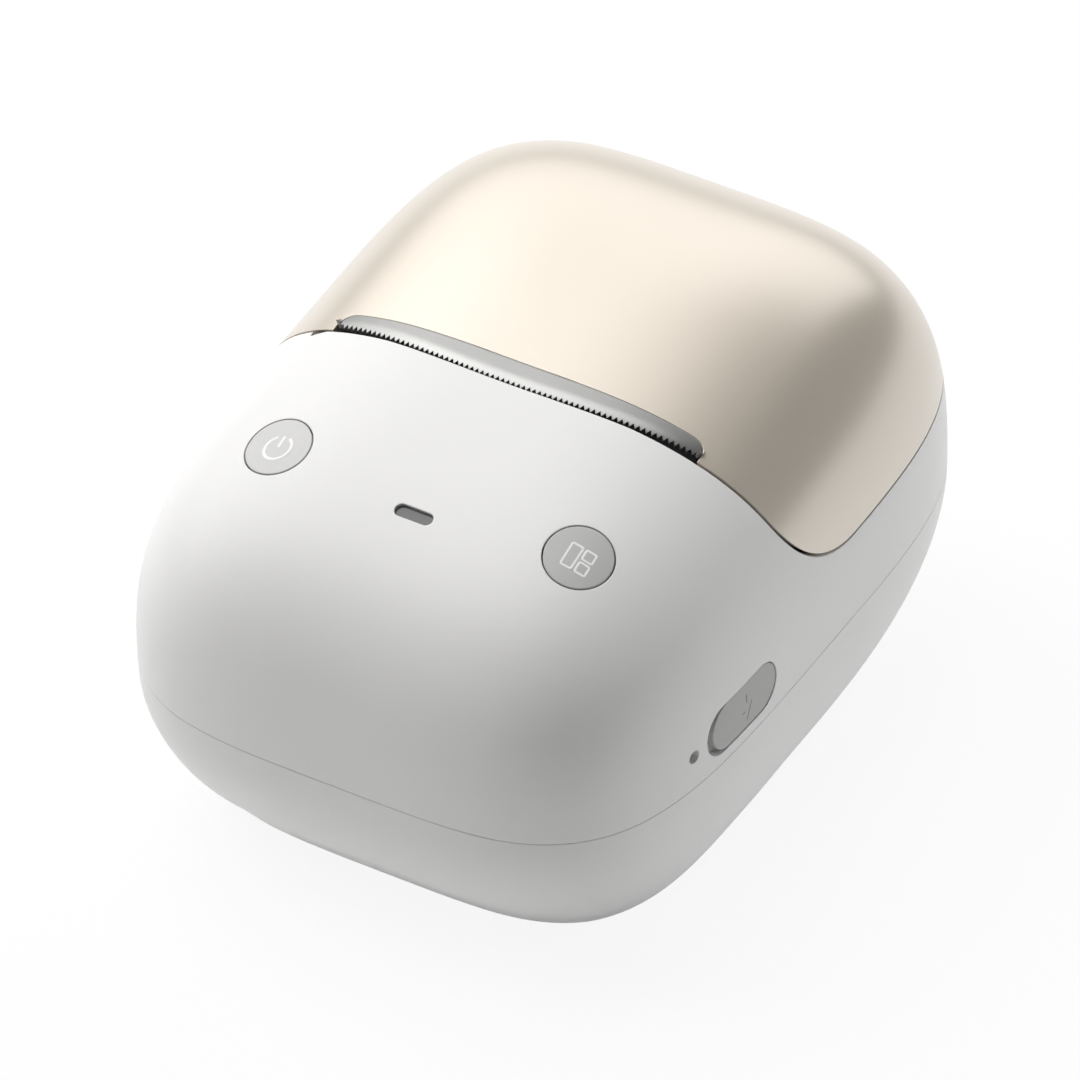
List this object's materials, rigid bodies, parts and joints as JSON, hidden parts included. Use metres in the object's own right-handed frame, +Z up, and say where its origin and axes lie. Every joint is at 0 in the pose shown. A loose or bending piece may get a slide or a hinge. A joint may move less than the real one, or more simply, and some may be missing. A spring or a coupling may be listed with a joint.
{
  "type": "label printer",
  "caption": "Pocket thermal label printer: rounded case, rear-hinged pearl lid over the roll bay, toothed tear bar at the label slot, round top buttons and a covered side port.",
  "frame": {"origin": "middle of the footprint, on the surface that the rubber feet stand on", "axes": "+X towards the port side, -Y towards the buttons, +Z up"},
  "size_m": [0.0864, 0.1137, 0.0671],
  "materials": {
    "shell_white": "satin moulded",
    "lid_pearl": "satin pearl",
    "blade_steel": "satin brushed",
    "steel": "turned",
    "frame_plastic": "fine matte",
    "inner_plastic": "fine matte",
    "bay_plastic": "fine matte",
    "gear_nylon": "smooth",
    "brass": "turned",
    "button_pale": "satin",
    "button_grey": "satin",
    "cover_rubber": "matte",
    "platen_rubber": "ground",
    "foot_rubber": "matte",
    "light_window": "smoked",
    "circuit_board": "solder mask",
    "chip_black": "moulded",
    "tinned_can": "tinned",
    "motor_steel": "plated",
    "heatsink_aluminium": "milled",
    "ceramic": "glazed",
    "battery_wrap": "shrink film",
    "ribbon_film": "film",
    "lead_red": "vinyl",
    "connector_white": "nylon",
    "light_lens": "clear"
  },
  "bodies": {
    "case": {"base_shell": "shell_white", "top_shell": "shell_white", "hinge_pin": "steel", "button_switches": "chip_black", "button_board": "circuit_board", "button_board_screws": "steel", "status_led": "light_lens", "light_guide": "light_window", "usb_socket": "tinned_can", "reset_switch": "chip_black", "main_board": "circuit_board", "main_board_screws": "steel", "radio_module": "tinned_can", "controller_chip": "chip_black", "battery_pack": "battery_wrap", "battery_connector": "connector_white", "battery_lead": "lead_red", "head_connector": "connector_white", "head_ribbon": "ribbon_film", "mechanism_frame": "frame_plastic", "stepper_motor": "motor_steel", "idler_axle": "steel", "head_pivot_pin": "steel", "head_springs": "steel", "label_sensor": "chip_black", "roll_bay": "bay_plastic", "guide_pin": "steel", "case_screws": "steel", "foot_front_left": "foot_rubber", "foot_front_right": "foot_rubber", "foot_rear_left": "foot_rubber", "foot_rear_right": "foot_rubber"},
    "lid": {"lid_cover": "lid_pearl", "lid_frame": "inner_plastic", "lid_screws": "steel", "tear_bar": "blade_steel", "platen_bush_left": "gear_nylon", "platen_bush_right": "gear_nylon"},
    "platen": {"platen_roller": "platen_rubber", "platen_shaft": "steel", "platen_gear": "gear_nylon"},
    "idler": {"idler_gear": "gear_nylon"},
    "motor_rotor": {"motor_shaft": "steel", "motor_pinion": "brass"},
    "print_head": {"print_head_heatsink": "heatsink_aluminium", "print_head_ceramic": "ceramic"},
    "guide_left": {"roll_guide_left": "frame_plastic", "guide_rack_left": "frame_plastic"},
    "guide_right": {"roll_guide_right": "frame_plastic", "guide_rack_right": "frame_plastic"},
    "guide_gear": {"guide_pinion": "gear_nylon"},
    "power_key": {"power_button": "button_pale"},
    "function_key": {"function_button": "button_grey"},
    "port_cover": {"usb_cover": "cover_rubber"}
  },
  "joints": [
    {"name": "lid_hinge", "type": "hinge", "parent": "case", "child": "lid", "pos_m": [0, 0.0536, 0.03901], "axis": [-1, 0, 0], "range_deg": [0, 85]},
    {"name": "platen_spin", "type": "hinge", "parent": "lid", "child": "platen", "pos_m": [0, -0.0065, 0.0515], "axis": [1, 0, 0], "continuous": true},
    {"name": "idler_spin", "type": "hinge", "parent": "case", "child": "idler", "pos_m": [0, -0.01179, 0.04006], "axis": [1, 0, 0], "continuous": true},
    {"name": "motor_spin", "type": "hinge", "parent": "case", "child": "motor_rotor", "pos_m": [0, -0.022, 0.035], "axis": [1, 0, 0], "continuous": true},
    {"name": "head_pivot", "type": "hinge", "parent": "case", "child": "print_head", "pos_m": [0, -0.01365, 0.0446], "axis": [1, 0, 0], "range_deg": [0, 2], "stiffness_Nm_per_rad": 2, "springref_deg": -2.86},
    {"name": "guide_left_slide", "type": "slide", "parent": "case", "child": "guide_left", "axis": [1, 0, 0], "range_m": [0, 0.015]},
    {"name": "guide_right_slide", "type": "slide", "parent": "case", "child": "guide_right", "axis": [-1, 0, 0], "range_m": [0, 0.015]},
    {"name": "guide_gear_spin", "type": "hinge", "parent": "case", "child": "guide_gear", "pos_m": [0, 0.024, 0.0059], "axis": [0, 0, 1], "range_deg": [0, 180]},
    {"name": "power_press", "type": "slide", "parent": "case", "child": "power_key", "axis": [0.23, 0.2669, -0.9359], "range_m": [0, 0.0005], "stiffness_N_per_m": 1200, "springref_m": -0.0005},
    {"name": "function_press", "type": "slide", "parent": "case", "child": "function_key", "axis": [-0.23, 0.2669, -0.9359], "range_m": [0, 0.0005], "stiffness_N_per_m": 1200, "springref_m": -0.0005},
    {"name": "port_cover_flap", "type": "hinge", "parent": "case", "child": "port_cover", "pos_m": [0.043, -0.0133, 0.0328], "axis": [0, 0, 1], "range_deg": [0, 110]}
  ],
  "couplings": [
    {"joint": "idler_spin", "follows": "platen_spin", "ratio": -0.5},
    {"joint": "motor_spin", "follows": "platen_spin", "ratio": 1.4},
    {"joint": "guide_right_slide", "follows": "guide_left_slide", "ratio": 1},
    {"joint": "guide_gear_spin", "follows": "guide_left_slide", "rad_per_m": 208.33}
  ]
}
